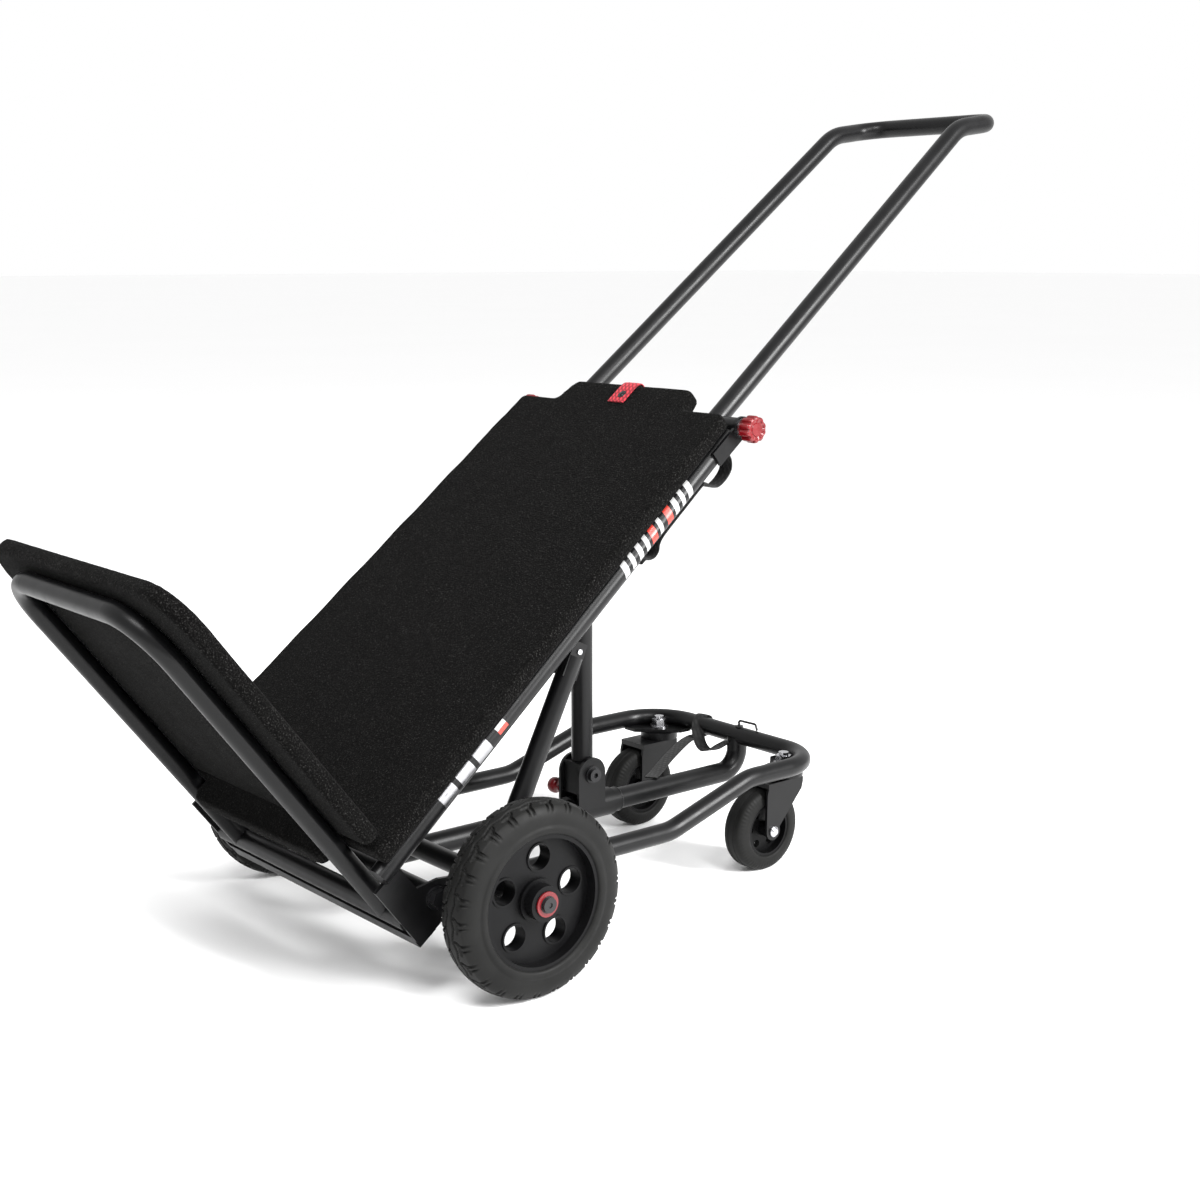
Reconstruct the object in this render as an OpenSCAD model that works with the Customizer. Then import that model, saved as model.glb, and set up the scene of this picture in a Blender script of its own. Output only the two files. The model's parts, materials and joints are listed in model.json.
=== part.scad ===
// Convertible hand truck: a leaning back frame with a fixed toe, two large wheels,
// and a swivel-caster frame hinged on the axle and held down by a folding post.
// Millimetres. +X is the operator's left, +Y is the rear (handle side), +Z is up.

/* [Tubes] */
// Radius of the frame tubes
tube_r = 11.1; // [10:0.1:11.5]
// Radius of the spine tube and of the post
stout_r = 12.7; // [12:0.1:12.7]

/* [Wheels] */
// Radius of the two large wheels
wheel_r = 101.6; // [100:0.1:103]
// Width of the large tyres
wheel_w = 44.4; // [40:0.2:46]
// Distance from the centre plane to the middle of a large wheel
wheel_x = 240; // [236:1:244]
// Radius of the caster wheels
caster_r = 50.5; // [48:0.5:51]
// Width of the caster wheels
caster_w = 32; // [28:1:33]

/* [Back frame] */
// Angle of the back rails above the floor
lean = 39.5; // [38:0.5:41]
// Distance of the rail plane from the axle
rail_d = 125.6; // [125:0.1:126]
// Distance of a rail from the centre plane at its lower end
rail_low_x = 190; // [188:1:192]
// Distance of a rail from the centre plane at its upper end
rail_top_x = 167.5; // [166:0.5:169]
// Distance of the handle pivot from the axle, along the rails
pivot_s = 543; // [541:1:547]

/* [Boards] */
// Thickness of both carpeted boards
board_t = 19.4; // [17:0.2:19.6]
// Half width of the back board at its lower end
board_low_x = 207; // [204:1:210]
// Half width of the back board at its upper end
board_top_x = 179; // [176:1:182]
// Half width of the toe board
toe_board_x = 202; // [196:1:206]

/* [Toe] */
// How far the toe tips up from square to the rails, in degrees
toe_tip = 2; // [1:0.5:3]
// Distance from the axle to the toe's tube plane
toe_s = 95.5; // [95:0.5:97]
// Distance from the axle to the front tube of the toe
toe_front_t = 468; // [440:1:480]
// Distance of a toe side tube from the centre plane
toe_x = 147; // [144:1:150]

/* [Caster frame] */
// Distance of a side tube from the centre plane
base_x = 149; // [148:0.5:150]
// Distance from the axle to the rear tube
base_rear = 514.6; // [512:0.2:518]
// Height of the low part of the side tubes
base_low_z = 91.7; // [91:0.1:93]
// Height of the raised rear part
base_high_z = 130.5; // [130:0.1:132]
// Distance of a swivel axis from the centre plane
caster_x = 113.5; // [112:0.5:115]
// Distance from the axle to the swivel axes
caster_y = 483; // [480:1:485]
// Distance the caster wheels trail behind their swivel axes
caster_trail = 37.4; // [34:0.2:38]
// Distance from the axle to the post
post_y = 260; // [259:0.5:261]

/* [Handle] */
// Distance of a handle leg from the centre plane at the pivot
leg_low_x = 125; // [124:0.5:126]
// Distance of a handle leg from the centre plane at the grip
leg_top_x = 105; // [100:1:110]
// Length of a handle leg along the rails, from the pivot to its bend
leg_len = 557; // [500:1:600]

/* [Hidden] */
$fn = 48;
fine_fn = 72;
run_gap = 0.05;
seam_step = 0.02;
face_gap = 0.35;

steel_black = [0.07, 0.07, 0.08];
carpet_black = [0.05, 0.05, 0.05];
rubber_black = [0.09, 0.09, 0.09];
rim_black = [0.13, 0.13, 0.14];
signal_red = [0.75, 0.06, 0.08];
zinc = [0.78, 0.78, 0.8];

// Toe and back board outline values, measured in the leaning frames
toe_a = lean - toe_tip;
rail_low_s = -88;
rail_top_s = pivot_s - tube_r - 1;
board_d = rail_d + tube_r + face_gap;
board_low_s = -78;
board_top_s = 535.5;
tab_top_s = 567;
tab_x = 112;
tab_r = 20;
heel_tab_s = -106;
heel_tab_x = 130;
heel_tab_r = 12;
toe_rear_t = 160;
toe_board_front_t = 493;
toe_board_r = 50;
toe_cross_t = 56.6;
toe_bend_r = 55;
toe_board_s = -toe_s + tube_r + face_gap;
foot_x = 185;
foot_t = 4;
tie_s = -61;
tie_t = 53;

// Handle values: the grip runs level behind the upper bend
grip_rise = 8;
grip_back = 76;
leg_drop = 1.25;
leg_d = 120.5;
grip_r = 36;
bend_r = 60;

// Caster fork values
fork_gap = 18.5;
fork_t = 3.5;
crown_z = 104;

// Post and clevis values
post_z = 130;
post_half = 12.7;
dome_r = post_half;
post_len = 329.6;
dome_z = post_z + post_len - dome_r;
saddle_gap = 1.5;
saddle_x = 28;
saddle_rest = -post_y * sin(lean) + (dome_z - wheel_r) * cos(lean);
saddle_d = saddle_rest + dome_r + saddle_gap;

// The frame's centre along Y lies midway between the toe's front edge and the grip
grip_corner = [leg_top_x, leg_back(leg_len)[0], leg_back(leg_len)[1]];
grip_end_y = grip_corner[1] + grip_back * cos(grip_rise);
tube_front_y = -toe_s * cos(toe_a) - toe_front_t * sin(toe_a) - tube_r;
board_front_y = toe_board_s * cos(toe_a) - toe_board_front_t * sin(toe_a);
front_y = min(tube_front_y, board_front_y);
axle_y = -(grip_end_y + tube_r + front_y) / 2;

// Distance behind the axle and height of a point on a leg, l along from the pivot
function leg_back(l) =
    let (s = pivot_s + l * cos(leg_drop), d = leg_d - l * sin(leg_drop))
    [s * cos(lean) - d * sin(lean), wheel_r + s * sin(lean) + d * cos(lean)];
function unit(v) = v / norm(v);

module axle_frame() {
    translate([0, axle_y, 0]) children();
}

// Local y runs up the rails and local z points to the load side
module lean_frame() {
    translate([0, axle_y, wheel_r]) rotate([lean, 0, 0]) children();
}

// Local z runs out along the toe and local y is square to it
module toe_frame() {
    translate([0, axle_y, wheel_r]) rotate([toe_a, 0, 0]) children();
}

// A cylinder from p to q
module rod(p, q, r) {
    d = q - p;
    translate(p)
        rotate([0, acos(d[2] / norm(d)), atan2(d[1], d[0])])
            cylinder(h = norm(d), r = r);
}

// A cylinder centred on c, along X
module barrel(c, len, r, fn = 48) {
    translate([c[0] - len / 2, c[1], c[2]]) rotate([0, 90, 0]) cylinder(h = len, r = r, $fn = fn);
}

// The bent stretch where a tube turns at p from direction a to direction b
module elbow(p, a, b, br, r) {
    turn = acos(a * b);
    m = unit(b - (a * b) * a);
    n = cross(a, b) / sin(turn);
    c = p - a * br * tan(turn / 2) + m * br;
    multmatrix([[-m[0], a[0], n[0], c[0]],
                [-m[1], a[1], n[1], c[1]],
                [-m[2], a[2], n[2], c[2]],
                [0, 0, 0, 1]])
        rotate_extrude(angle = turn) translate([br, 0]) circle(r = r);
}

// A tube through the points, with the bend radius of each inner point in radii.
// The straight runs are a hair stouter than the bends, so that every seam is a clean step.
module bent_tube(points, radii, r) {
    last = len(points) - 1;
    function dir(i) = unit(points[i + 1] - points[i]);
    function cut(i) = i == 0 || i == last ? 0
        : radii[i - 1] * tan(acos(dir(i - 1) * dir(i)) / 2);
    for (i = [0 : last - 1])
        if (norm(points[i + 1] - points[i]) - cut(i) - cut(i + 1) > 0.5)
            rod(points[i] + dir(i) * cut(i), points[i + 1] - dir(i) * cut(i + 1), r + seam_step);
    for (i = [1 : last - 1])
        elbow(points[i], dir(i - 1), dir(i), radii[i - 1], r);
}

// A hexagon head or nut along X, from x outwards by h
module hex_x(c, h, across) {
    translate(c) rotate([0, 90, 0]) cylinder(h = h, r = across / 2 / cos(30), $fn = 6);
}

// ---- back frame ----

module back_rail(side) {
    color(steel_black) lean_frame()
        rod([side * rail_low_x, rail_low_s, rail_d], [side * rail_top_x, rail_top_s, rail_d], tube_r);
}

mid_s = 392;
mid_x = rail_x(mid_s) - tube_r + 0.5;
function rail_x(s) =
    rail_low_x + (rail_top_x - rail_low_x) * (s - rail_low_s) / (rail_top_s - rail_low_s);

module mid_cross_tube() {
    color(steel_black) lean_frame() difference() {
        barrel([0, mid_s, rail_d], 2 * mid_x + 8, tube_r);
        for (side = [-1, 1])
            rod([side * rail_low_x, rail_low_s, rail_d],
                [side * rail_top_x, rail_top_s, rail_d], tube_r);
    }
}

// Flat plate under the board that bears on the post's domed cap
module post_saddle() {
    color(steel_black) lean_frame() difference() {
        union() {
            translate([-saddle_x, mid_s, saddle_d]) cube([2 * saddle_x, 60, 4]);
            for (side = [-1, 1])
                translate([side * (saddle_x - 2) - 2, mid_s, saddle_d - 10]) cube([4, 48, 10]);
        }
        barrel([0, mid_s, rail_d], 120, tube_r);
    }
}

// Ears on the rail tops that carry the handle's pivot
lug_x = rail_top_x + tube_r;
lug_t = 4;
lug_r = 13;
stud_r = 5;

module pivot_lugs() {
    color(steel_black) lean_frame()
        for (side = [-1, 1])
            difference() {
                union() {
                    barrel([side * (lug_x + lug_t / 2), pivot_s, rail_d], lug_t, lug_r);
                    translate([side * (lug_x + lug_t / 2) - lug_t / 2, pivot_s - 50, rail_d - 9])
                        cube([lug_t, 50, 18]);
                }
                barrel([side * lug_x, pivot_s, rail_d], 30, stud_r + run_gap);
                rod([side * rail_low_x, rail_low_s, rail_d],
                    [side * rail_top_x, rail_top_s, rail_d], tube_r);
            }
}

// ---- toe and foot ----

module foot_cross_tube() {
    color(steel_black) toe_frame()
        barrel([0, -toe_s, toe_cross_t], 2 * foot_x, tube_r);
}

module toe_side_tube(side) {
    color(steel_black) toe_frame() difference() {
        union() {
            rod([side * toe_x, -toe_s, toe_cross_t],
                [side * toe_x, -toe_s, toe_front_t - toe_bend_r], tube_r + seam_step);
            elbow([side * toe_x, -toe_s, toe_front_t], [0, 0, 1], [-side, 0, 0], toe_bend_r, tube_r);
        }
        barrel([side * toe_x, -toe_s, toe_cross_t], 40, tube_r);
    }
}

module toe_front_tube() {
    color(steel_black) toe_frame()
        barrel([0, -toe_s, toe_front_t], 2 * (toe_x - toe_bend_r), tube_r);
}

// Side plate that joins rail, toe, tie tube and axle
module foot_plate(side) {
    color(steel_black) toe_frame() difference() {
        translate([side * foot_x - (side > 0 ? 0 : foot_t), 0, 0])
            rotate([90, 0, 90]) linear_extrude(foot_t) foot_outline();
        barrel([side * foot_x, 0, 0], 30, tube_r);
        barrel([side * foot_x, tie_s, tie_t], 30, 6);
        lean_in_toe() rod([side * rail_low_x, rail_low_s - 20, rail_d],
            [side * rail_top_x, rail_top_s, rail_d], tube_r);
    }
}

// In the toe frame, drawn as (y, z): a heel strip, and an arm back to the axle
strip_top = -70;
strip_rear = 28;
strip_end = 120;
strip_r = 8;

module foot_outline() {
    low = -toe_s - tube_r + 2;
    translate([low, strip_rear + strip_r]) square([strip_top - low, strip_end - strip_rear - strip_r]);
    translate([low + strip_r, strip_rear]) square([strip_top - low - strip_r, 2 * strip_r]);
    translate([low + strip_r, strip_rear + strip_r]) circle(r = strip_r);
    polygon([[-85, 44], [-85, 70], [-70, 78], [-47, 66], [11, 13], [-11, -13], [-71, 33]]);
    circle(r = 19);
}

module lean_in_toe() {
    rotate([toe_tip, 0, 0]) children();
}

// Folded strip along the heel, under the cross tube
module foot_angle() {
    color(steel_black) toe_frame()
        translate([-foot_x + face_gap, -toe_s - tube_r + 2, 24])
            difference() {
                cube([2 * (foot_x - face_gap), 24, 16]);
                translate([-1, 3, 3]) cube([2 * foot_x + 2, 24, 16]);
            }
}

module tie_tube() {
    color(steel_black) toe_frame() difference() {
        barrel([0, tie_s, tie_t], 2 * foot_x, tube_r);
        barrel([0, tie_s, tie_t], 2 * foot_x + 2, 5.9);
    }
}

module tie_bolts() {
    color(steel_black) toe_frame()
        for (side = [-1, 1]) {
            barrel([side * (foot_x - 8), tie_s, tie_t], 32, 5.9);
            barrel([side * (foot_x + foot_t + 1.2), tie_s, tie_t], 2.4, 12);
            hex_x([side > 0 ? foot_x + foot_t + 2.4 : -foot_x - foot_t - 9.9, tie_s, tie_t], 7.5, 18);
        }
}

module axle_tube() {
    color(steel_black) axle_frame() difference() {
        barrel([0, 0, wheel_r], 2 * 213, tube_r, fine_fn);
        barrel([0, 0, wheel_r], 2 * 214, shaft_r + run_gap, fine_fn);
    }
}

shaft_r = 8;
hub_face = wheel_x + wheel_w / 2 + 1;

module axle_shaft() {
    color(zinc) axle_frame() barrel([0, 0, wheel_r], 2 * (hub_face + 0.4), shaft_r, fine_fn);
}

// Braces from the axle up to the rails, with a flattened upper end
strut_low = [170, 0, 0];
strut_high = [172, 222, 101];

module strut(side) {
    p = [side * strut_low[0], strut_low[1], strut_low[2]];
    q = [side * strut_high[0], strut_high[1], strut_high[2]];
    a = unit(q - p);
    color(steel_black) lean_frame() difference() {
        union() {
            rod(p, q, tube_r);
            hull() {
                translate(q - a * 22) rotate([atan2(a[2], a[1]), 0, 0]) cube([15, 2, 20], center = true);
                translate(q + a * 8 + [side * 4, 0, 0])
                    rotate([atan2(a[2], a[1]), 0, 0]) cube([5, 16, 18], center = true);
            }
        }
        barrel([p[0], 0, 0], 60, tube_r);
        rod([side * rail_low_x, rail_low_s, rail_d],
            [side * rail_top_x, rail_top_s, rail_d], tube_r + face_gap);
    }
}

module strut_rivets() {
    color(zinc) lean_frame()
        for (side = [-1, 1])
            translate([side * (strut_high[0] + 7.95) - 1, strut_high[1] + 6, strut_high[2] + 2])
                rotate([0, 90, 0]) cylinder(h = 2, r = 2.8);
}

// ---- boards and straps ----

module back_board() {
    color(carpet_black) lean_frame() translate([0, 0, board_d]) linear_extrude(board_t) {
        polygon([[-board_low_x, board_low_s], [board_low_x, board_low_s],
                 [board_top_x, board_top_s], [-board_top_x, board_top_s]]);
        translate([-heel_tab_x, heel_tab_s + heel_tab_r])
            square([2 * heel_tab_x, board_low_s - heel_tab_s - heel_tab_r + 30]);
        translate([-heel_tab_x + heel_tab_r, heel_tab_s])
            square([2 * (heel_tab_x - heel_tab_r), 2 * heel_tab_r]);
        for (side = [-1, 1])
            translate([side * (heel_tab_x - heel_tab_r), heel_tab_s + heel_tab_r]) circle(r = heel_tab_r);
        translate([-tab_x, board_top_s - 30]) square([2 * tab_x, 30 + tab_top_s - board_top_s - tab_r]);
        translate([-tab_x + tab_r, board_top_s])
            square([2 * (tab_x - tab_r), tab_top_s - board_top_s]);
        for (side = [-1, 1])
            translate([side * (tab_x - tab_r), tab_top_s - tab_r]) circle(r = tab_r);
    }
}

module toe_board() {
    color(carpet_black) toe_frame()
        translate([0, toe_board_s + board_t, 0]) rotate([90, 0, 0]) linear_extrude(board_t) {
            translate([-toe_board_x, toe_rear_t])
                square([2 * toe_board_x, toe_board_front_t - toe_board_r - toe_rear_t]);
            translate([-toe_board_x + toe_board_r, toe_rear_t])
                square([2 * (toe_board_x - toe_board_r), toe_board_front_t - toe_rear_t]);
            for (side = [-1, 1])
                translate([side * (toe_board_x - toe_board_r), toe_board_front_t - toe_board_r])
                    circle(r = toe_board_r);
        }
}

// Webbing loop folded over the top of the board
strap_w = 30;
strap_t = 2;

module board_strap() {
    color(signal_red) lean_frame() translate([-strap_w / 2 - 4, 0, 0]) {
        translate([0, tab_top_s - 34, board_d + board_t + 0.3]) cube([strap_w, 34 + 3, strap_t]);
        translate([0, tab_top_s + 1, board_d - 2.3]) cube([strap_w, strap_t, board_t + 2.6]);
        translate([0, tab_top_s - 14, board_d - strap_t - 0.3]) cube([strap_w, 15, strap_t]);
    }
}

// Webbing strap under the left rail, standing off it in two loops
module rail_strap() {
    color(rubber_black) lean_frame() translate([rail_x(430) - 12, 0, rail_d - tube_r - 3.4]) {
        translate([0, 350, 0]) cube([24, 170, 2.4]);
        translate([0, 478, -15]) rotate([0, 90, 0]) linear_extrude(24) loop_outline(15, 24);
        translate([0, 358, -6]) rotate([0, 90, 0]) linear_extrude(24) loop_outline(6, 14);
    }
}

module loop_outline(depth, half) {
    difference() {
        union() {
            circle(r = depth);
            translate([-depth, -depth]) square([depth, 2 * depth]);
        }
        circle(r = depth - 2.4);
        translate([-depth - 1, -depth + 2.4]) square([depth + 1, 2 * (depth - 2.4)]);
    }
}

// ---- wheels ----

module tyre(side) {
    half = wheel_w / 2;
    color(rubber_black) axle_frame() translate([side * wheel_x, 0, wheel_r]) rotate([0, 90, 0])
        rotate_extrude($fn = 96)
            polygon([[rim_r, -half + 3], [rim_r + 4, -half], [wheel_r - 15, -half + 1],
                     [wheel_r - 6, -half + 5], [wheel_r - 1.5, -half + 11], [wheel_r, 0],
                     [wheel_r - 1.5, half - 11], [wheel_r - 6, half - 5],
                     [wheel_r - 15, half - 1], [rim_r + 4, half], [rim_r, half - 3]]);
}

rim_r = 69.5;
dish_r = 65.5;
web_face = wheel_x + 6.5;
web_t = 14;
hub_r = 18.5;
spoke_holes = 5;
spoke_phase = 13.6;
spoke_ring = 43.5;
spoke_hole_r = 13;

module rim(side) {
    color(rim_black) axle_frame() translate([0, 0, wheel_r]) mirror([side > 0 ? 0 : 1, 0, 0])
        rotate([0, 90, 0]) difference() {
            union() {
                translate([0, 0, web_face - web_t]) cylinder(h = web_t, r = rim_r, $fn = 96);
                difference() {
                    translate([0, 0, wheel_x - wheel_w / 2 + 3])
                        cylinder(h = wheel_w - 6, r = rim_r, $fn = 96);
                    translate([0, 0, wheel_x - wheel_w / 2])
                        cylinder(h = wheel_w, r = dish_r, $fn = 96);
                }
                translate([0, 0, wheel_x - wheel_w / 2 - 2])
                    cylinder(h = hub_face - wheel_x + wheel_w / 2 + 2, r = hub_r, $fn = fine_fn);
                translate([0, 0, web_face - 1]) cylinder(h = 5, r = hub_r + 4, $fn = fine_fn);
                for (i = [0 : spoke_holes - 1]) rotate([0, 0, 72 * i + spoke_phase])
                    translate([0, spoke_ring, web_face - web_t - 1])
                        cylinder(h = web_t + 2.5, r = spoke_hole_r + 2);
            }
            translate([0, 0, wheel_x - 60]) cylinder(h = 120, r = shaft_r + run_gap, $fn = fine_fn);
            for (i = [0 : spoke_holes - 1]) rotate([0, 0, 72 * i + spoke_phase])
                translate([0, spoke_ring, wheel_x - 40]) cylinder(h = 80, r = spoke_hole_r);
        }
}

washer_t = 1.6;

module hub_washers() {
    color(signal_red) axle_frame()
        for (side = [-1, 1])
            barrel([side * (hub_face + 0.4 + washer_t / 2), 0, wheel_r], washer_t, 13);
}

module hub_bolts() {
    color(steel_black) axle_frame()
        for (side = [-1, 1]) difference() {
            union() {
                barrel([side * (hub_face + 0.4 + washer_t + 2), 0, wheel_r], 4, 7.8);
                barrel([side * (hub_face + 0.4 + washer_t + 0.4), 0, wheel_r], 0.8, 8.8);
            }
            translate([side * (hub_face + 7.4) - 2.6, 0, wheel_r]) rotate([0, 90, 0])
                cylinder(h = 5.2, r = 3, $fn = 6);
        }
}

// ---- handle ----

module handle_leg(side) {
    p0 = [side * leg_low_x, pivot_y_z()[0], pivot_y_z()[1]];
    p1 = [side * grip_corner[0], grip_corner[1], grip_corner[2]];
    p2 = [side * grip_corner[0], grip_end_y - grip_r * cos(grip_rise),
          grip_corner[2] + (grip_back - grip_r) * sin(grip_rise)];
    color(steel_black) axle_frame() difference() {
        bent_tube([p0, p1, p2], [bend_r], tube_r);
        translate([0, 0, wheel_r]) rotate([lean, 0, 0])
            barrel([side * leg_low_x, pivot_s, rail_d], 60, tube_r);
    }
}
function pivot_y_z() = leg_back(0);

module grip_bar() {
    z = grip_corner[2] + grip_back * sin(grip_rise);
    back = [0, cos(grip_rise), sin(grip_rise)];
    color(steel_black) axle_frame() {
        barrel([0, grip_end_y, z], 2 * (leg_top_x - grip_r), tube_r + seam_step);
        for (side = [-1, 1])
            elbow([side * leg_top_x, grip_end_y, z], back, [-side, 0, 0], grip_r, tube_r);
    }
}

module pivot_tube() {
    color(steel_black) lean_frame() difference() {
        barrel([0, pivot_s, rail_d], 2 * (lug_x - 0.5), tube_r, fine_fn);
        for (side = [-1, 1])
            barrel([side * lug_x, pivot_s, rail_d], 60, stud_r + run_gap, fine_fn);
    }
}

knob_lobes = 9;
knob_r = 14;
knob_h = 20;

module clamp_knob(side) {
    color(signal_red) lean_frame()
        translate([side * (lug_x + lug_t + 2), pivot_s, rail_d]) rotate([0, side * 90, 0]) {
            cylinder(h = 4, r = 9);
            difference() {
                translate([0, 0, 4]) cylinder(h = knob_h - 4, r = knob_r);
                for (i = [0 : knob_lobes - 1]) rotate([0, 0, i * 360 / knob_lobes])
                    translate([knob_r + 1.2, 0, 0]) cylinder(h = knob_h + 4, r = 3);
            }
        }
}

module knob_stud(side) {
    color(zinc) lean_frame() {
        barrel([side * (lug_x - 10), pivot_s, rail_d], 2 * (10 + lug_t + 2), stud_r, fine_fn);
        barrel([side * (lug_x + lug_t + 1.15), pivot_s, rail_d], 1.7, 11, fine_fn);
    }
}

// ---- caster frame ----

low_bend_y = 266;
high_bend_y = 389;
corner_r = 62;

module base_side_tube(side) {
    x = side * base_x;
    color(steel_black) axle_frame() difference() {
        side_run(x, side);
        barrel([x, 0, wheel_r], 40, sleeve_r);
    }
}

module side_run(x, side) {
    union() {
        bent_tube([[x, 7, base_low_z], [x, low_bend_y, base_low_z],
                   [x, high_bend_y, base_high_z], [x, base_rear - corner_r, base_high_z]],
                  [70, 70], tube_r);
        elbow([x, base_rear, base_high_z], [0, 1, 0], [-side, 0, 0], corner_r, tube_r);
    }
}

module base_rear_tube() {
    color(steel_black) axle_frame()
        barrel([0, base_rear, base_high_z], 2 * (base_x - corner_r), tube_r);
}

spine_z = 85.5;

module spine_tube() {
    color(steel_black) axle_frame() difference() {
        bent_tube([[0, 4, spine_z], [0, base_rear, spine_z], [0, base_rear, base_high_z - 2]],
                  [28], stout_r);
        barrel([0, base_rear, base_high_z], 60, tube_r);
        barrel([0, 0, wheel_r], 60, sleeve_r);
    }
}

sleeve_r = 16;

module hinge_sleeves() {
    color(steel_black) axle_frame() difference() {
        for (x = [-147, 0, 147]) barrel([x, 0, wheel_r], x == 0 ? 34 : 18, sleeve_r, fine_fn);
        barrel([0, 0, wheel_r], 400, tube_r + run_gap, fine_fn);
    }
}

clevis_gap = 15;
clevis_t = 4;
pin_y = post_y - 14;
pin_z = post_z - 22;
pin_r = 3.2;

module clevis() {
    color(steel_black) axle_frame() difference() {
        union() {
            rod([0, post_y - 22, spine_z], [0, post_y + 42, spine_z], 16.6);
            rod([0, post_y + 42, spine_z], [0, post_y + 52, spine_z], 14.6);
            for (x = [-clevis_gap - clevis_t, clevis_gap]) {
                translate([x, post_y, post_z]) rotate([0, 90, 0]) cylinder(h = clevis_t, r = 20);
                translate([x, post_y - 20, spine_z + 2]) cube([clevis_t, 40, post_z - spine_z - 2]);
            }
        }
        rod([0, post_y - 40, spine_z], [0, post_y + 70, spine_z], stout_r + 2 * seam_step);
        barrel([0, post_y, post_z], 80, 5 + run_gap);
        barrel([-clevis_gap - clevis_t, pin_y, pin_z], 14, pin_r + run_gap);
    }
}

module clevis_bolt() {
    outer = clevis_gap + clevis_t;
    color(steel_black) axle_frame() difference() {
        union() {
            barrel([0, post_y, post_z], 2 * (outer + 1), 5, fine_fn);
            barrel([outer + 1, post_y, post_z], 2, 10);
            barrel([outer + 4.5, post_y, post_z], 5, 8);
            barrel([-outer - 1, post_y, post_z], 2, 10);
            hex_x([-outer - 8, post_y, post_z], 6, 15);
        }
        translate([outer + 4, post_y, post_z]) rotate([0, 90, 0]) cylinder(h = 5, r = 3.4, $fn = 6);
    }
}

plate_z = 119.5;
plate_t = 4;

// Gusset plates welded into the rear corners, above the casters
module caster_plates() {
    color(steel_black) axle_frame()
        for (side = [-1, 1]) difference() {
            translate([0, 0, plate_z]) linear_extrude(plate_t)
                polygon([[side * (base_x - 6), caster_y - 34], [side * (base_x - 6), base_rear - 44],
                         [side * (base_x - 18), base_rear - 18], [side * (base_x - 44), base_rear - 6],
                         [side * (caster_x - 32), base_rear - 6], [side * (caster_x - 32), base_rear - 22],
                         [side * (base_x - 26), caster_y - 34]]);
            translate([side * caster_x, caster_y, plate_z - 1]) cylinder(h = 10, r = kingpin_r);
            rod([side * base_x, 300, base_high_z],
                [side * base_x, base_rear - corner_r, base_high_z], tube_r);
            elbow([side * base_x, base_rear, base_high_z], [0, 1, 0], [-side, 0, 0], corner_r, tube_r);
            barrel([0, base_rear, base_high_z], 2 * (base_x - corner_r), tube_r);
        }
}

kingpin_r = 6;
pin_foot = crown_z - 0.4;

module caster_nuts() {
    color(zinc) axle_frame()
        for (side = [-1, 1]) translate([side * caster_x, caster_y, 0]) {
            translate([0, 0, pin_foot])
                cylinder(h = plate_z + plate_t - pin_foot, r = kingpin_r, $fn = fine_fn);
            translate([0, 0, pin_foot - 3]) cylinder(h = 3, r = 9);
            translate([0, 0, plate_z + plate_t]) cylinder(h = 2, r = 12);
            translate([0, 0, plate_z + plate_t + 2]) cylinder(h = 8.5, r = 9.8, $fn = 6);
            translate([0, 0, plate_z + plate_t + 10.5]) cylinder(h = 4, r = 6);
        }
}

// Bent wire keeper on the rear tube
wire_r = 1.5;
module wire_loop() {
    z0 = base_high_z + tube_r + 2 * seam_step;
    color(steel_black) axle_frame() {
        bent_tube([[4, base_rear, z0 + 1], [3, base_rear, z0 + 8], [31, base_rear + 2, z0 + 8],
                   [35, base_rear + 1, z0 + 1]], [3, 3], wire_r);
        translate([4, base_rear, z0]) cylinder(h = 1.6, r = 5);
    }
}

// Webbing tie looped round the rear tube, with its end lying on the spine
module tie_strap() {
    color(rubber_black) axle_frame() {
        translate([-62, base_rear - 16, base_high_z + tube_r + 0.4]) cube([16, 30, 2]);
        translate([-62, base_rear - 16, base_high_z - 17]) cube([16, 2, 30]);
        translate([-62, base_rear + 12, base_high_z - 17]) cube([16, 2, 30]);
        translate([-62, base_rear - 16, base_high_z - 17]) cube([16, 30, 2]);
    }
}

module pull_pin() {
    color(zinc) axle_frame()
        rod([-clevis_gap - 14, pin_y, pin_z], [-clevis_gap - 0.4, pin_y, pin_z], pin_r);
}

module pull_knob() {
    x = -clevis_gap - clevis_t - 1.5;
    color(signal_red) axle_frame() translate([x, pin_y, pin_z]) rotate([0, -90, 0])
        difference() {
            union() {
                cylinder(h = 8, r = 6);
                translate([0, 0, 8]) cylinder(h = 10, r = 9.5);
                translate([0, 0, 18]) cylinder(h = 3, r1 = 9.5, r2 = 6);
            }
            translate([0, 0, -1]) cylinder(h = 9.5, r = pin_r);
        }
}

module post_tube() {
    foot_half = clevis_gap - 0.5;
    color(steel_black) axle_frame() difference() {
        union() {
            translate([0, post_y, post_z + 10]) cylinder(h = post_len - 10 - 34, r = post_half);
            translate([-foot_half, post_y, post_z]) rotate([90, 0, 90]) linear_extrude(2 * foot_half)
                polygon([[-15.5, 14], [-15.5, -24], [1, -25.5], [13, -11], [13, 14]]);
        }
        barrel([0, post_y, post_z], 60, 5 + run_gap, fine_fn);
    }
}

module post_cap() {
    top = post_z + post_len;
    color(rubber_black) axle_frame() {
        translate([0, post_y, top - 34]) cylinder(h = 34 - dome_r, r = post_half);
        translate([0, post_y, top - dome_r]) sphere(r = dome_r);
    }
}

// ---- casters ----

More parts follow.
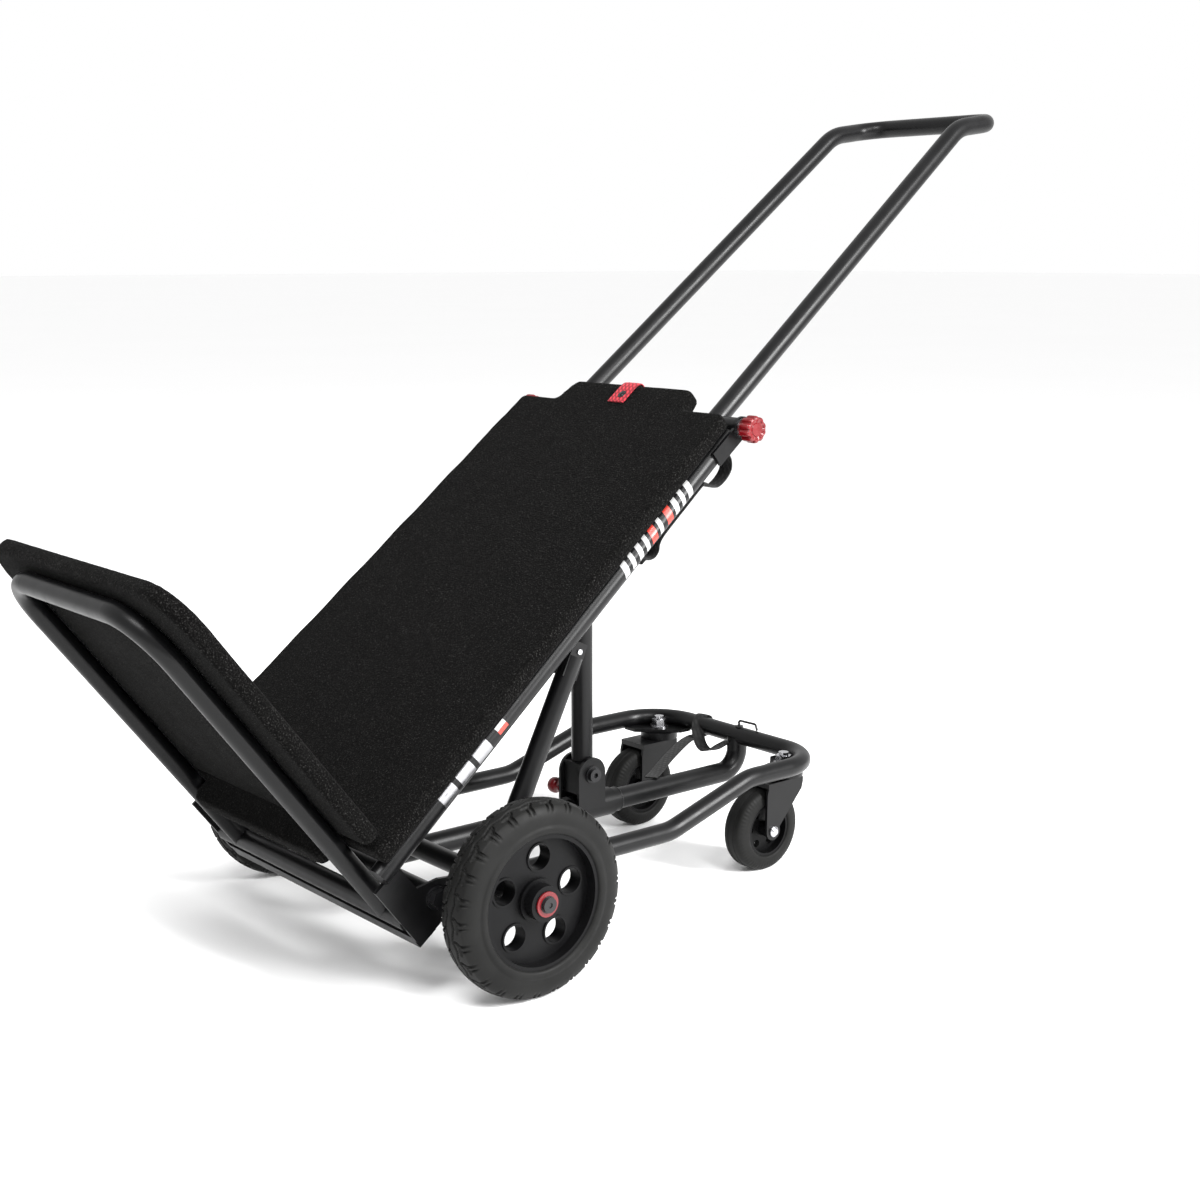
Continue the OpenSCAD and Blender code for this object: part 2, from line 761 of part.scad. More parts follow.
module caster_fork(side) {
    color(steel_black) axle_frame() translate([side * caster_x, caster_y, 0]) difference() {
        union() {
            translate([0, 0, crown_z + 6]) cylinder(h = plate_z - crown_z - 6.6, r = 24);
            translate([-fork_gap - fork_t, -46, crown_z]) cube([2 * (fork_gap + fork_t), 58, 6]);
            for (x = [-fork_gap - fork_t, fork_gap]) translate([x, 0, 0]) {
                rotate([90, 0, 90]) linear_extrude(fork_t) fork_outline();
            }
        }
        translate([0, 0, 80]) cylinder(h = 60, r = kingpin_r + run_gap, $fn = fine_fn);
        barrel([0, -caster_trail, caster_r], 60, 4);
    }
}

module fork_outline() {
    polygon([[-46, crown_z], [12, crown_z], [10, crown_z - 8], [-caster_trail + 11, caster_r + 5],
             [-caster_trail + 8, caster_r - 8], [-caster_trail, caster_r - 11],
             [-caster_trail - 8, caster_r - 8], [-caster_trail - 11, caster_r], [-48, crown_z - 8]]);
    translate([-caster_trail, caster_r]) circle(r = 11);
}

module caster_axle(side) {
    outer = fork_gap + fork_t;
    color(zinc) axle_frame() translate([side * caster_x, caster_y - caster_trail, caster_r]) {
        barrel([0, 0, 0], 2 * outer, 4, fine_fn);
        translate([outer, 0, 0]) rotate([0, 90, 0]) cylinder(h = 2, r = 6.5);
        translate([outer + 2, 0, 0]) rotate([0, 90, 0]) cylinder(h = 2.5, r1 = 6.5, r2 = 3.5);
        hex_x([-outer - 5, 0, 0], 5, 12);
    }
}

caster_rim_r = 32;

module caster_tyre(side) {
    half = caster_w / 2;
    color(rubber_black) axle_frame()
        translate([side * caster_x, caster_y - caster_trail, caster_r]) rotate([0, 90, 0])
            rotate_extrude($fn = 96)
                polygon([[caster_rim_r, -half + 2], [caster_rim_r + 3, -half],
                         [caster_r - 7, -half + 1], [caster_r - 2, -half + 5],
                         [caster_r, -half + 11], [caster_r, half - 11],
                         [caster_r - 2, half - 5], [caster_r - 7, half - 1],
                         [caster_rim_r + 3, half], [caster_rim_r, half - 2]]);
}

module caster_rim(side) {
    half = caster_w / 2;
    color(rim_black) axle_frame()
        translate([side * caster_x, caster_y - caster_trail, caster_r]) rotate([0, 90, 0]) difference() {
            union() {
                translate([0, 0, -4]) cylinder(h = 8, r = caster_rim_r);
                difference() {
                    translate([0, 0, -half + 2]) cylinder(h = caster_w - 4, r = caster_rim_r);
                    translate([0, 0, -half]) cylinder(h = caster_w, r = caster_rim_r - 3);
                }
                translate([0, 0, -fork_gap + 0.5]) cylinder(h = 2 * fork_gap - 1, r = 9);
            }
            translate([0, 0, -40]) cylinder(h = 80, r = 4 + run_gap, $fn = fine_fn);
            for (i = [0 : 5]) rotate([0, 0, 60 * i + 30])
                translate([20.5, 0, -20]) cylinder(h = 40, r = 4.5);
        }
}

back_rail(1);  // back_rail_left
back_rail(-1);  // back_rail_right
mid_cross_tube();
post_saddle();
pivot_lugs();
foot_cross_tube();
toe_side_tube(1);  // toe_side_tube_left
toe_side_tube(-1);  // toe_side_tube_right
toe_front_tube();
foot_plate(1);  // foot_plate_left
foot_plate(-1);  // foot_plate_right
foot_angle();
tie_tube();
tie_bolts();
axle_tube();
axle_shaft();
strut(1);  // strut_left
strut(-1);  // strut_right
strut_rivets();
toe_board();
back_board();
board_strap();
rail_strap();
hub_washers();
hub_bolts();
tyre(1);  // tyre_left
tyre(-1);  // tyre_right
rim(1);  // rim_left
rim(-1);  // rim_right
handle_leg(1);  // handle_leg_left
handle_leg(-1);  // handle_leg_right
grip_bar();
pivot_tube();
clamp_knob(1);  // clamp_knob_left
clamp_knob(-1);  // clamp_knob_right
knob_stud(1);  // knob_stud_left
knob_stud(-1);  // knob_stud_right
base_side_tube(1);  // base_side_tube_left
base_side_tube(-1);  // base_side_tube_right
base_rear_tube();
spine_tube();
hinge_sleeves();
clevis();
clevis_bolt();
caster_plates();
caster_nuts();
wire_loop();
tie_strap();
pull_pin();
pull_knob();
post_tube();
post_cap();
caster_fork(1);  // caster_fork_left
caster_fork(-1);  // caster_fork_right
caster_axle(1);  // caster_axle_left
caster_axle(-1);  // caster_axle_right
caster_tyre(1);  // caster_tyre_left
caster_tyre(-1);  // caster_tyre_right
caster_rim(1);  // caster_rim_left
caster_rim(-1);  // caster_rim_right
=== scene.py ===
import json
import math

import bmesh
import bpy
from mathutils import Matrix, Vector
from mathutils import noise as noise_field


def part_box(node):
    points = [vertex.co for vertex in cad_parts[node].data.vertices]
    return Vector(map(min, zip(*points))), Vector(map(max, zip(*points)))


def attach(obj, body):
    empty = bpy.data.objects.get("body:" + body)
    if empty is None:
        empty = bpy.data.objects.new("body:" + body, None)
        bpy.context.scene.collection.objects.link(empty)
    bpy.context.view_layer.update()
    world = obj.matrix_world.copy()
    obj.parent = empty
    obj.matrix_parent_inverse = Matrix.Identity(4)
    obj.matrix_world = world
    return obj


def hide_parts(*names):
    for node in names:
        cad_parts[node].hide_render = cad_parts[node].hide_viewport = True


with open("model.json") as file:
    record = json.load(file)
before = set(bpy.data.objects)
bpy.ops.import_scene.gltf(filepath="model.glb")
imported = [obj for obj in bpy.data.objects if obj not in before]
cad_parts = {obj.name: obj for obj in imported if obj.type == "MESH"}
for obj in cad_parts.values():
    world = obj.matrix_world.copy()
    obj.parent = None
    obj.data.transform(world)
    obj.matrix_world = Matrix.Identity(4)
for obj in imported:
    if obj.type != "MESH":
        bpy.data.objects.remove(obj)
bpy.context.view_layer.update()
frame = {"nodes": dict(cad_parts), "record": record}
NODES = frame["nodes"]
RECORD = frame["record"]
MM = 0.001
SIDES = ((1, "left"), (-1, "right"))


# ---- places taken from the frame ----

def centre(node):
    low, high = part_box(node)
    return (low + high) / 2


MOUNTS = {m["name"]: m for m in RECORD["mounts"]}
AXLE = centre("axle_shaft")
AXLE_Y = AXLE.y
AXLE_Z = AXLE.z
BACK_AXIS = MOUNTS["back_face"]["axis"]
TOE_AXIS = MOUNTS["toe_face"]["axis"]
LEAN = math.atan2(-BACK_AXIS[1], BACK_AXIS[2])
TOE = math.atan2(TOE_AXIS[2], TOE_AXIS[1])


def lean_point(x, s, d):
    """A point in millimetres across, up the rails and towards the load, as a row-frame vector."""
    c, n = math.cos(LEAN), math.sin(LEAN)
    return Vector((x * MM, AXLE_Y + (s * c - d * n) * MM, AXLE_Z + (s * n + d * c) * MM))


def toe_point(x, s, t):
    """The same for the toe: s is square to the toe board and t runs out along it."""
    c, n = math.cos(TOE), math.sin(TOE)
    return Vector((x * MM, AXLE_Y + (s * c - t * n) * MM, AXLE_Z + (s * n + t * c) * MM))


def axle_point(x, y, z):
    """Millimetres across, behind the axle, and above the floor."""
    return Vector((x * MM, AXLE_Y + y * MM, z * MM))


# ---- camera ----

camera = bpy.data.objects.new("camera", bpy.data.cameras.new("camera"))
bpy.context.scene.collection.objects.link(camera)
camera.data.sensor_width = 36
camera.data.lens = 54.0
camera.data.clip_end = 200
camera.data.dof.use_dof = False
camera.location = axle_point(1591.3, -1039.2, 730.2)
camera.rotation_euler = (math.radians(90 - 10.863), 0, math.radians(50.177))
bpy.context.scene.camera = camera


# ---- materials ----

def new_material(name):
    mat = bpy.data.materials.new(name)
    mat.use_nodes = True
    tree = mat.node_tree
    shader = tree.nodes["Principled BSDF"]
    coords = tree.nodes.new("ShaderNodeTexCoord")
    return mat, tree, shader, coords.outputs["Object"]


def noise(tree, vector, scale, detail=3.0, rough=0.55):
    node = tree.nodes.new("ShaderNodeTexNoise")
    node.inputs["Scale"].default_value = scale
    node.inputs["Detail"].default_value = detail
    node.inputs["Roughness"].default_value = rough
    tree.links.new(vector, node.inputs["Vector"])
    return node.outputs["Fac"]


def ramp(tree, fac, stops):
    node = tree.nodes.new("ShaderNodeValToRGB")
    node.color_ramp.elements[0].position = stops[0][0]
    node.color_ramp.elements[0].color = (*stops[0][1], 1)
    node.color_ramp.elements[1].position = stops[-1][0]
    node.color_ramp.elements[1].color = (*stops[-1][1], 1)
    for place, colour in stops[1:-1]:
        extra = node.color_ramp.elements.new(place)
        extra.color = (*colour, 1)
    tree.links.new(fac, node.inputs["Fac"])
    return node.outputs["Color"]


def spread(tree, fac, low, high):
    node = tree.nodes.new("ShaderNodeMapRange")
    node.inputs["From Min"].default_value = 0.3
    node.inputs["From Max"].default_value = 0.7
    node.inputs["To Min"].default_value = low
    node.inputs["To Max"].default_value = high
    tree.links.new(fac, node.inputs["Value"])
    return node.outputs["Result"]


def bump(tree, shader, heights):
    """Stacks bump nodes: heights is a list of (height socket, strength, distance)."""
    last = None
    for height, strength, distance in heights:
        node = tree.nodes.new("ShaderNodeBump")
        node.inputs["Strength"].default_value = strength
        node.inputs["Distance"].default_value = distance
        tree.links.new(height, node.inputs["Height"])
        if last is not None:
            tree.links.new(last, node.inputs["Normal"])
        last = node.outputs["Normal"]
    tree.links.new(last, shader.inputs["Normal"])


def painted(name, dark, light, rough_low, rough_high, grain, depth, coat=0.0, metallic=0.0, gloss=0.5,
            wave=0.0006):
    """Paint or moulded plastic: slow colour drift, uneven gloss and a fine grain."""
    mat, tree, shader, co = new_material(name)
    drift = noise(tree, co, 18, 4)
    tree.links.new(ramp(tree, drift, [(0.3, dark), (0.7, light)]), shader.inputs["Base Color"])
    tree.links.new(spread(tree, noise(tree, co, 60, 5), rough_low, rough_high), shader.inputs["Roughness"])
    bump(tree, shader, [(noise(tree, co, grain, 2), 0.35, depth), (noise(tree, co, 45, 3), 0.12, wave)])
    shader.inputs["Metallic"].default_value = metallic
    shader.inputs["Specular IOR Level"].default_value = gloss
    shader.inputs["Coat Weight"].default_value = coat
    shader.inputs["Coat Roughness"].default_value = 0.25
    return mat


def carpet_material():
    """Short dense pile: dark tufts with scattered lighter fibre ends."""
    mat, tree, shader, co = new_material("carpet")
    fine = noise(tree, co, 620, 2, 0.75)
    tuft = tree.nodes.new("ShaderNodeTexVoronoi")
    tuft.inputs["Scale"].default_value = 560
    tree.links.new(co, tuft.inputs["Vector"])
    speck = ramp(tree, fine, [(0.42, (0.0012, 0.0012, 0.0012)), (0.56, (0.0032, 0.0031, 0.0029)),
                              (0.64, (0.012, 0.0118, 0.0114)), (0.76, (0.042, 0.0412, 0.04))])
    tree.links.new(speck, shader.inputs["Base Color"])
    tree.links.new(spread(tree, noise(tree, co, 30, 4), 0.85, 1.0), shader.inputs["Roughness"])
    bump(tree, shader, [(tuft.outputs["Distance"], 0.6, 0.0008), (fine, 0.8, 0.0007)])
    shader.inputs["Sheen Weight"].default_value = 0.012
    shader.inputs["Sheen Roughness"].default_value = 0.5
    shader.inputs["Specular IOR Level"].default_value = 0.03
    return mat


def webbing_material(name, dark, light, pitch=0.0022):
    """Woven tape: two crossed sets of fine ribs."""
    mat, tree, shader, co = new_material(name)
    waves = []
    for turn in (45, -45):
        turned = tree.nodes.new("ShaderNodeMapping")
        turned.inputs["Rotation"].default_value = (math.radians(turn), 0, math.radians(turn))
        tree.links.new(co, turned.inputs["Vector"])
        wave = tree.nodes.new("ShaderNodeTexWave")
        wave.inputs["Scale"].default_value = 1 / pitch / 6.5
        wave.inputs["Distortion"].default_value = 0.6
        wave.inputs["Detail Scale"].default_value = 8
        tree.links.new(turned.outputs["Vector"], wave.inputs["Vector"])
        waves.append(wave.outputs["Fac"])
    both = tree.nodes.new("ShaderNodeMath")
    both.operation = "MULTIPLY"
    tree.links.new(waves[0], both.inputs[0])
    tree.links.new(waves[1], both.inputs[1])
    tree.links.new(ramp(tree, both.outputs[0], [(0.0, dark), (0.6, light)]), shader.inputs["Base Color"])
    tree.links.new(spread(tree, noise(tree, co, 200, 3), 0.6, 0.8), shader.inputs["Roughness"])
    bump(tree, shader, [(both.outputs[0], 0.5, 0.0004), (noise(tree, co, 1400, 2), 0.3, 0.0002)])
    shader.inputs["Sheen Weight"].default_value = 0.06
    shader.inputs["Specular IOR Level"].default_value = 0.25
    return mat


def metal_material(name, tint, rough_low, rough_high):
    mat, tree, shader, co = new_material(name)
    drift = noise(tree, co, 90, 4)
    low = tuple(c * 0.82 for c in tint)
    tree.links.new(ramp(tree, drift, [(0.3, low), (0.7, tint)]), shader.inputs["Base Color"])
    tree.links.new(spread(tree, noise(tree, co, 240, 5), rough_low, rough_high), shader.inputs["Roughness"])
    bump(tree, shader, [(noise(tree, co, 1500, 2), 0.15, 0.0001)])
    shader.inputs["Metallic"].default_value = 1.0
    return mat


MAT = {
    "frame_black": painted("frame_black", (0.0018, 0.0018, 0.002), (0.0035, 0.0035, 0.0038), 0.3, 0.38,
                           900, 0.00002, gloss=0.2, wave=0.00005),
    "carpet": carpet_material(),
    "webbing_red": webbing_material("webbing_red", (0.16, 0.006, 0.012), (0.52, 0.03, 0.045)),
    "webbing_black": webbing_material("webbing_black", (0.003, 0.003, 0.003), (0.013, 0.013, 0.0132)),
    "tyre_rubber": painted("tyre_rubber", (0.004, 0.004, 0.0038), (0.008, 0.008, 0.0077), 0.48, 0.62,
                           1100, 0.00016, gloss=0.12),
    "rim_plastic": painted("rim_plastic", (0.002, 0.002, 0.0022), (0.004, 0.004, 0.0043), 0.34, 0.46,
                           1300, 0.0001, gloss=0.1),
    "knob_red": painted("knob_red", (0.09, 0.001, 0.0025), (0.15, 0.002, 0.005), 0.26, 0.38,
                        500, 0.00015, coat=0.15, gloss=0.35),
    "washer_red": painted("washer_red", (0.08, 0.001, 0.0025), (0.13, 0.002, 0.005), 0.3, 0.42,
                          700, 0.0001),
    "bolt_black": painted("bolt_black", (0.008, 0.008, 0.009), (0.018, 0.018, 0.019), 0.26, 0.38,
                          900, 0.0001, metallic=0.4, gloss=0.4),
    "zinc_steel": metal_material("zinc_steel", (0.5, 0.5, 0.52), 0.14, 0.3),
    "cap_rubber": painted("cap_rubber", (0.006, 0.006, 0.006), (0.01, 0.01, 0.01), 0.55, 0.7,
                          1000, 0.0002, gloss=0.2),
    "wire_steel": painted("wire_steel", (0.007, 0.007, 0.008), (0.014, 0.014, 0.014), 0.3, 0.42,
                          900, 0.0001, metallic=0.2, gloss=0.4),
    "decal_white": painted("decal_white", (0.3, 0.3, 0.3), (0.4, 0.4, 0.395), 0.28, 0.4, 400, 0.00008),
    "decal_red": painted("decal_red", (0.34, 0.02, 0.012), (0.44, 0.035, 0.02), 0.28, 0.4, 400, 0.00008),
    "decal_silver": metal_material("decal_silver", (0.3, 0.3, 0.31), 0.3, 0.42),
}


# ---- mesh helpers ----

def add_piece(name, verts, faces, material, body, replaced=(), smooth=38):
    mesh = bpy.data.meshes.new(name)
    mesh.from_pydata([tuple(v) for v in verts], [], faces)
    work = bmesh.new()
    work.from_mesh(mesh)
    bmesh.ops.recalc_face_normals(work, faces=work.faces)
    work.to_mesh(mesh)
    work.free()
    obj = bpy.data.objects.new(name, mesh)
    bpy.context.scene.collection.objects.link(obj)
    mesh.materials.append(MAT[material])
    smooth_by_angle(obj, smooth)
    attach(obj, body)
    if replaced:
        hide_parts(*replaced)
    return obj


def smooth_by_angle(obj, degrees):
    mesh = obj.data
    for face in mesh.polygons:
        face.use_smooth = True
    work = bmesh.new()
    work.from_mesh(mesh)
    limit = math.radians(degrees)
    for edge in work.edges:
        edge.smooth = not (len(edge.link_faces) == 2 and edge.calc_face_angle(0) > limit)
    work.to_mesh(mesh)
    work.free()


def lathe(profile, count, place, radius=None):
    """Rings round X. profile is a list of (x, r) in mm, closed end to end.
    place maps (x, y, z) in mm to a vector. radius(turn, x, r), if given, gives the radius at that turn."""
    verts, faces = [], []
    for i in range(count):
        turn = 2 * math.pi * i / count
        for x, r in profile:
            rr = radius(turn, x, r) if radius else r
            verts.append(place(x, rr * math.cos(turn), rr * math.sin(turn)))
    width = len(profile)
    for i in range(count):
        for j in range(width):
            a = i * width + j
            b = i * width + (j + 1) % width
            c = ((i + 1) % count) * width + (j + 1) % width
            d = ((i + 1) % count) * width + j
            faces.append((a, b, c, d))
    return verts, faces


def lathe_solid(profile, count, place, radius=None):
    """As lathe, for an open profile whose two ends lie near the axis: each end gets a cap."""
    verts, faces = lathe(profile, count, place, radius)
    width = len(profile)
    faces = [f for f in faces if not (f[0] % width == width - 1)]
    faces.append(tuple(i * width for i in range(count)))
    faces.append(tuple(i * width + width - 1 for i in range(count))[::-1])
    return verts, faces


def smooth_path(points, steps=8):
    """Catmull-Rom through the points."""
    pts = [Vector(p) for p in points]
    pts = [pts[0] * 2 - pts[1]] + pts + [pts[-1] * 2 - pts[-2]]
    out = []
    for i in range(1, len(pts) - 2):
        p0, p1, p2, p3 = pts[i - 1:i + 3]
        for k in range(steps):
            t = k / steps
            out.append(0.5 * (2 * p1 + (p2 - p0) * t + (2 * p0 - 5 * p1 + 4 * p2 - p3) * t * t
                              + (3 * p1 - p0 - 3 * p2 + p3) * t * t * t))
    out.append(pts[-2])
    return out


def ribbon(points, across, width, thick, steps=8, columns=6):
    """A tape along the points, in metres.
    across is one vector, or one per point, giving its width's direction."""
    path = smooth_path(points, steps)
    if isinstance(across, Vector):
        sides = [across.normalized()] * len(path)
    else:
        sides = [v.normalized() for v in smooth_path(across, steps)]
    verts, faces = [], []
    ring = []
    for k in range(columns + 1):
        ring.append((k / columns - 0.5, 0.5))
    for k in range(columns + 1):
        ring.append((0.5 - k / columns, -0.5))
    count = len(ring)
    for i, p in enumerate(path):
        ahead = (path[min(i + 1, len(path) - 1)] - path[max(i - 1, 0)]).normalized()
        side = (sides[i] - ahead * sides[i].dot(ahead)).normalized()
        up = ahead.cross(side)
        for u, v in ring:
            edge = 1 - 0.45 * (abs(u) * 2) ** 8
            verts.append(p + side * (u * width) + up * (v * thick * edge))
    for i in range(len(path) - 1):
        for k in range(count):
            a = i * count + k
            b = i * count + (k + 1) % count
            faces.append((a, b, b + count, a + count))
    faces.append(tuple(range(count))[::-1])
    faces.append(tuple((len(path) - 1) * count + k for k in range(count)))
    return verts, faces


# ---- large tyres ----

TYRE_STEPS = 832
TREAD_BLOCKS = 26
GROOVE_DEPTH = 2.6
CUT_DEPTH = 2.8
HOOK_DEPTH = 2.4
BAR_DEPTH = 2.0

WHEEL_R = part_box("tyre_left")[1].z / 2 / MM
WHEEL_HALF = (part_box("tyre_left")[1].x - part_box("tyre_left")[0].x) / 2 / MM
WHEEL_X = centre("tyre_left").x / MM
RIM_R = (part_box("rim_left")[1].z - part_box("rim_left")[0].z) / 2 / MM


def step(value, low, high):
    t = min(1.0, max(0.0, (value - low) / (high - low)))
    return t * t * (3 - 2 * t)


def tyre_profile():
    h = WHEEL_HALF
    bead = RIM_R
    inner = [(-h + 3, bead), (-h + 0.9, bead + 1.0), (-h + 0.25, bead + 2.8), (-h, bead + 5),
             (-h + 0.1, bead + 8), (-h + 0.7, bead + 8.6), (-h + 0.8, bead + 11), (-h + 0.6, bead + 14)]
    shoulder = [(-h + 0.9, 87), (-h + 1.5, 90), (-h + 2.4, 92.8), (-h + 3.6, 95.2), (-h + 5.0, 97.2)]
    crown = []
    x = -h + 6.4
    while x < -0.01:
        crown.append((x, WHEEL_R - 0.010 * abs(x) ** 2.05))
        x += 0.8
    left = inner + shoulder + crown
    right = [(-x, r) for x, r in reversed(left)]
    return left + [(0, WHEEL_R)] + right


def tread(turn, x, r):
    """Cuts the tread pattern: two zigzag grooves and hooked blocks out to the shoulders."""
    if r < 86.5:
        return r
    pitch = 2 * math.pi / TREAD_BLOCKS
    side = 1 if x > 0 else -1
    phase = (turn + (0.5 * pitch if side > 0 else 0)) % pitch / pitch
    zigzag = 4.6 + 1.3 * math.sin(2 * math.pi * turn / pitch)
    groove = 1 - step(abs(abs(x) - zigzag), 0.8, 1.4)
    bend = 0.16 * step(abs(x), 7, 13)
    cut = 1 - step(abs(phase - 0.32 - bend), 0.04, 0.075)
    cut *= step(abs(x), 4.5, 6.0)
    hook = (1 - step(abs(phase - 0.72), 0.035, 0.07)) * step(abs(x), 9.0, 10.5)
    bar = (1 - step(abs(abs(x) - 11.0), 0.6, 1.3)) * step(phase, 0.5, 0.56) * (1 - step(phase, 0.9, 0.96))
    fade = step(r, 92.0, 98.0)
    depth = max(GROOVE_DEPTH * groove, CUT_DEPTH * cut, HOOK_DEPTH * hook, BAR_DEPTH * bar) * fade
    return r - depth


for side, name in SIDES:
    def place(x, y, z, side=side):
        return Vector(((WHEEL_X + x) * side * MM, AXLE_Y + y * MM, AXLE_Z + z * MM))

    verts, faces = lathe(tyre_profile(), TYRE_STEPS, place, tread)
    add_piece(f"tread_tyre_{name}", verts, faces, "tyre_rubber", f"wheel_{name}",
              (f"tyre_{name}",), smooth=50)


# ---- caster tyres ----

CASTER_STEPS = 384
CASTER_RIBS = 64
RIB_DEPTH = 0.55


def ribs(turn, x, r):
    """Short ribs round the side of the caster tyre."""
    if 40 < r < 47.8:
        beat = 0.5 + 0.5 * math.sin(turn * CASTER_RIBS)
        return r - RIB_DEPTH * step(beat, 0.35, 0.65)
    return r


for side, name in SIDES:
    mid = centre(f"caster_tyre_{name}")
    low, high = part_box(f"caster_tyre_{name}")
    half = (high.x - low.x) / 2 / MM
    outer = (high.z - low.z) / 2 / MM

    def place(x, y, z, mid=mid):
        return mid + Vector((x * MM, y * MM, z * MM))

    prof = [(-half + 2, 32), (-half + 0.3, 33.2), (-half, 35.5), (-half + 0.3, 38.5), (-half + 0.8, 41.5),
            (-half + 1.1, 43), (-half + 1.5, 44.5), (-half + 2.2, 46), (-half + 3.2, 47.6), (-half + 4.6, 49),
            (-half + 6.5, 50), (-half + 9, outer - 0.1), (-5, outer), (-4.6, outer - 0.5),
            (-3.6, outer - 0.5), (-3.2, outer)]
    prof = prof + [(0, outer)] + [(-x, r) for x, r in reversed(prof)]

    verts, faces = lathe(prof, CASTER_STEPS, place, ribs)
    add_piece(f"ribbed_tyre_{name}", verts, faces, "tyre_rubber", f"caster_wheel_{name}",
              (f"caster_tyre_{name}",), smooth=50)


# ---- carpeted boards ----

BOARD_VOXEL = 4.0
PILE_SINK = 0.3

def board_mesh(outline, to_world, base, thick, edge=4.2):
    """A carpet-wrapped board: the outline, in mm, with rounded rims and a slightly uneven pile."""
    work = bmesh.new()
    bottom = [work.verts.new((x, y, base)) for x, y in outline]
    face = work.faces.new(bottom)
    made = bmesh.ops.extrude_face_region(work, geom=[face])
    top = [g for g in made["geom"] if isinstance(g, bmesh.types.BMVert)]
    bmesh.ops.translate(work, verts=top, vec=(0, 0, thick))
    bmesh.ops.recalc_face_normals(work, faces=work.faces)
    rims = [e for e in work.edges
            if abs(e.verts[0].co.z - e.verts[1].co.z) < 1e-6]
    bmesh.ops.bevel(work, geom=rims, offset=edge, segments=4, profile=0.5, affect="EDGES", clamp_overlap=True)
    mesh = bpy.data.meshes.new("board")
    work.to_mesh(mesh)
    work.free()
    obj = bpy.data.objects.new("board", mesh)
    bpy.context.scene.collection.objects.link(obj)
    remesh = obj.modifiers.new("even", "REMESH")
    remesh.mode = "VOXEL"
    remesh.voxel_size = BOARD_VOXEL
    soft = obj.modifiers.new("soft", "SMOOTH")
    soft.iterations = 2
    deps = bpy.context.evaluated_depsgraph_get()
    done = bpy.data.meshes.new_from_object(obj.evaluated_get(deps))
    verts = [v.co.copy() for v in done.vertices]
    normals = [v.normal.copy() for v in done.vertices]
    faces = [tuple(p.vertices) for p in done.polygons]
    bpy.data.objects.remove(obj)
    out = []
    for v, n in zip(verts, normals):
        lift = 0.22 * noise_field.noise(v / 60.0) + 0.16 * noise_field.noise(v / 9.0 + Vector((7, 3, 1)))
        v = v + n * (lift - PILE_SINK)
        out.append(to_world(v))
    return out, faces


def rounded(points, radii, arc=7):
    """The polygon with each corner rounded to its radius."""
    out = []
    count = len(points)
    for i in range(count):
        p = Vector(points[i])
        a = (Vector(points[i - 1]) - p)
        b = (Vector(points[(i + 1) % count]) - p)
        radius = radii[i]
        if radius <= 0:
            out.append(tuple(p))
            continue
        au, bu = a.normalized(), b.normalized()
        half = math.acos(max(-1, min(1, au.dot(bu)))) / 2
        reach = radius / math.tan(half)
        mid = (au + bu).normalized() * (radius / math.sin(half))
        hub = p + mid
        start = p + au * reach - hub
        stop = p + bu * reach - hub
        turn = start.angle_signed(stop)
        for k in range(arc + 1):
            ang = -turn * k / arc
            c, s = math.cos(ang), math.sin(ang)
            out.append((hub.x + start.x * c - start.y * s, hub.y + start.x * s + start.y * c))
    return out


def board_frame_box(node, point, axis):
    """Lowest and highest value of a node along a leaning frame's axis, in mm."""
    origin = point(0, 0, 0)
    values = [(v.co - origin).dot(axis) / MM for v in NODES[node].data.vertices]
    return min(values), max(values)


S_AXIS = (lean_point(0, 1, 0) - lean_point(0, 0, 0)).normalized()
D_AXIS = (lean_point(0, 0, 1) - lean_point(0, 0, 0)).normalized()
TS_AXIS = (toe_point(0, 1, 0) - toe_point(0, 0, 0)).normalized()
TT_AXIS = (toe_point(0, 0, 1) - toe_point(0, 0, 0)).normalized()

bd_low, bd_high = board_frame_box("back_board", lean_point, D_AXIS)
bs_low, bs_high = board_frame_box("back_board", lean_point, S_AXIS)
low_x = max(v.co.x for v in NODES["back_board"].data.vertices) / MM
TAB_X = 112.0
SHOULDER_S = bs_high - 31.5
top_x = max(v.co.x for v in NODES["back_board"].data.vertices
            if abs((v.co - lean_point(0, 0, 0)).dot(S_AXIS) / MM - SHOULDER_S) < 1.0) / MM
HEEL_X = 130.0
HEEL_S = bs_low + 28
outline = rounded([(-HEEL_X, bs_low), (HEEL_X, bs_low), (HEEL_X, HEEL_S), (low_x, HEEL_S),
                   (top_x, SHOULDER_S), (TAB_X, SHOULDER_S), (TAB_X - 9, bs_high),
                   (-TAB_X + 9, bs_high), (-TAB_X, SHOULDER_S),
                   (-top_x, SHOULDER_S), (-low_x, HEEL_S), (-HEEL_X, HEEL_S)],
                  [12, 12, 3, 5, 9, 4, 13, 13, 4, 9, 5, 3])
verts, faces = board_mesh(outline, lambda v: lean_point(v.x, v.y, v.z), bd_low, bd_high - bd_low)
board = add_piece("carpeted_back", verts, faces, "carpet", "chassis", ("back_board",), smooth=70)

tt_low, tt_high = board_frame_box("toe_board", toe_point, TT_AXIS)
ts_low, ts_high = board_frame_box("toe_board", toe_point, TS_AXIS)
toe_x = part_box("toe_board")[1].x / MM
outline = rounded([(-toe_x, tt_low), (toe_x, tt_low), (toe_x, tt_high), (-toe_x, tt_high)],
                  [6, 6, 50, 50], arc=12)
verts, faces = board_mesh(outline, lambda v: toe_point(v.x, v.z, v.y), ts_low, ts_high - ts_low)
board = add_piece("carpeted_toe", verts, faces, "carpet", "chassis", ("toe_board",), smooth=70)


# ---- straps ----

